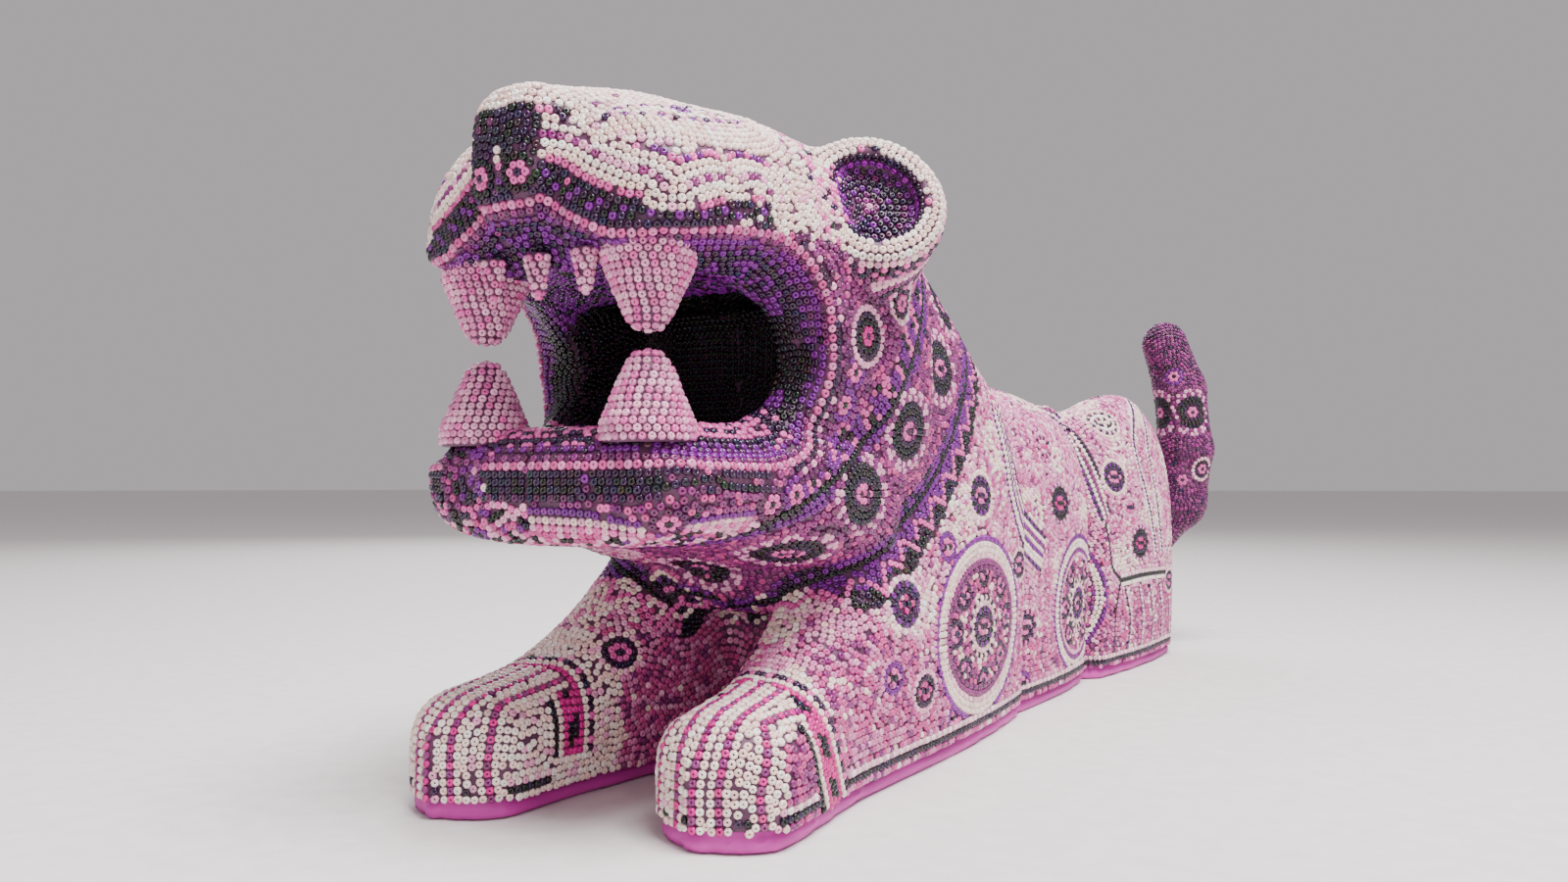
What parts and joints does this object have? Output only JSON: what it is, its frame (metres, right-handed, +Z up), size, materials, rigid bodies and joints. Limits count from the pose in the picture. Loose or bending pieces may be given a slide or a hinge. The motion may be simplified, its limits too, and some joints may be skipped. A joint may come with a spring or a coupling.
{
  "type": "beaded big cat figure",
  "caption": "Lying open-mouthed big cat figure of carved wood, covered in wax and glass seed beads in Huichol folk-craft style, with fangs, round ears and a raised tail.",
  "frame": {"origin": "bottom centre of the bounding box, on the surface the figure lies on", "axes": "+Z up, -Y the way the big cat faces, +X its left side"},
  "size_m": [0.1514, 0.503, 0.196],
  "materials": {
    "carved_wood": "painted where it shows at the sole, bare inside",
    "dowel_wood": "plain turned beech",
    "pink_beads": "opaque glass seed beads pressed in beeswax",
    "mauve_beads": "opaque glass seed beads pressed in beeswax",
    "dark_beads": "opaque glass seed beads pressed in beeswax",
    "mouth_beads": "opaque glass seed beads pressed in beeswax",
    "tooth_beads": "opaque glass seed beads pressed in beeswax"
  },
  "bodies": {
    "root": {"ear_dowels": "dowel_wood", "flank_dowels": "dowel_wood", "foreleg_dowels": "dowel_wood", "haunch_dowels": "dowel_wood", "head_beadwork": "pink_beads", "head_block": "carved_wood", "head_dowels": "dowel_wood", "jaw_dowels": "dowel_wood", "left_ear_beadwork": "dark_beads", "left_ear_block": "carved_wood", "left_flank_beadwork": "pink_beads", "left_flank_block": "carved_wood", "left_foreleg_beadwork": "pink_beads", "left_foreleg_block": "carved_wood", "left_haunch_beadwork": "pink_beads", "left_haunch_block": "carved_wood", "left_incisor": "tooth_beads", "lower_gum": "mouth_beads", "lower_jaw_beadwork": "mauve_beads", "lower_jaw_block": "carved_wood", "lower_left_canine": "tooth_beads", "lower_right_canine": "tooth_beads", "middle_incisor": "tooth_beads", "neck_beadwork": "mauve_beads", "neck_block": "carved_wood", "neck_dowels": "dowel_wood", "nose_beadwork": "dark_beads", "nose_block": "carved_wood", "right_ear_beadwork": "dark_beads", "right_ear_block": "carved_wood", "right_flank_beadwork": "pink_beads", "right_flank_block": "carved_wood", "right_foreleg_beadwork": "pink_beads", "right_foreleg_block": "carved_wood", "right_haunch_beadwork": "pink_beads", "right_haunch_block": "carved_wood", "right_incisor": "tooth_beads", "tail_beadwork": "pink_beads", "tail_block": "carved_wood", "tail_dowel": "dowel_wood", "trunk_beadwork": "pink_beads", "trunk_block": "carved_wood", "upper_gum": "mouth_beads", "upper_left_canine": "tooth_beads", "upper_right_canine": "tooth_beads"}
  },
  "joints": []
}
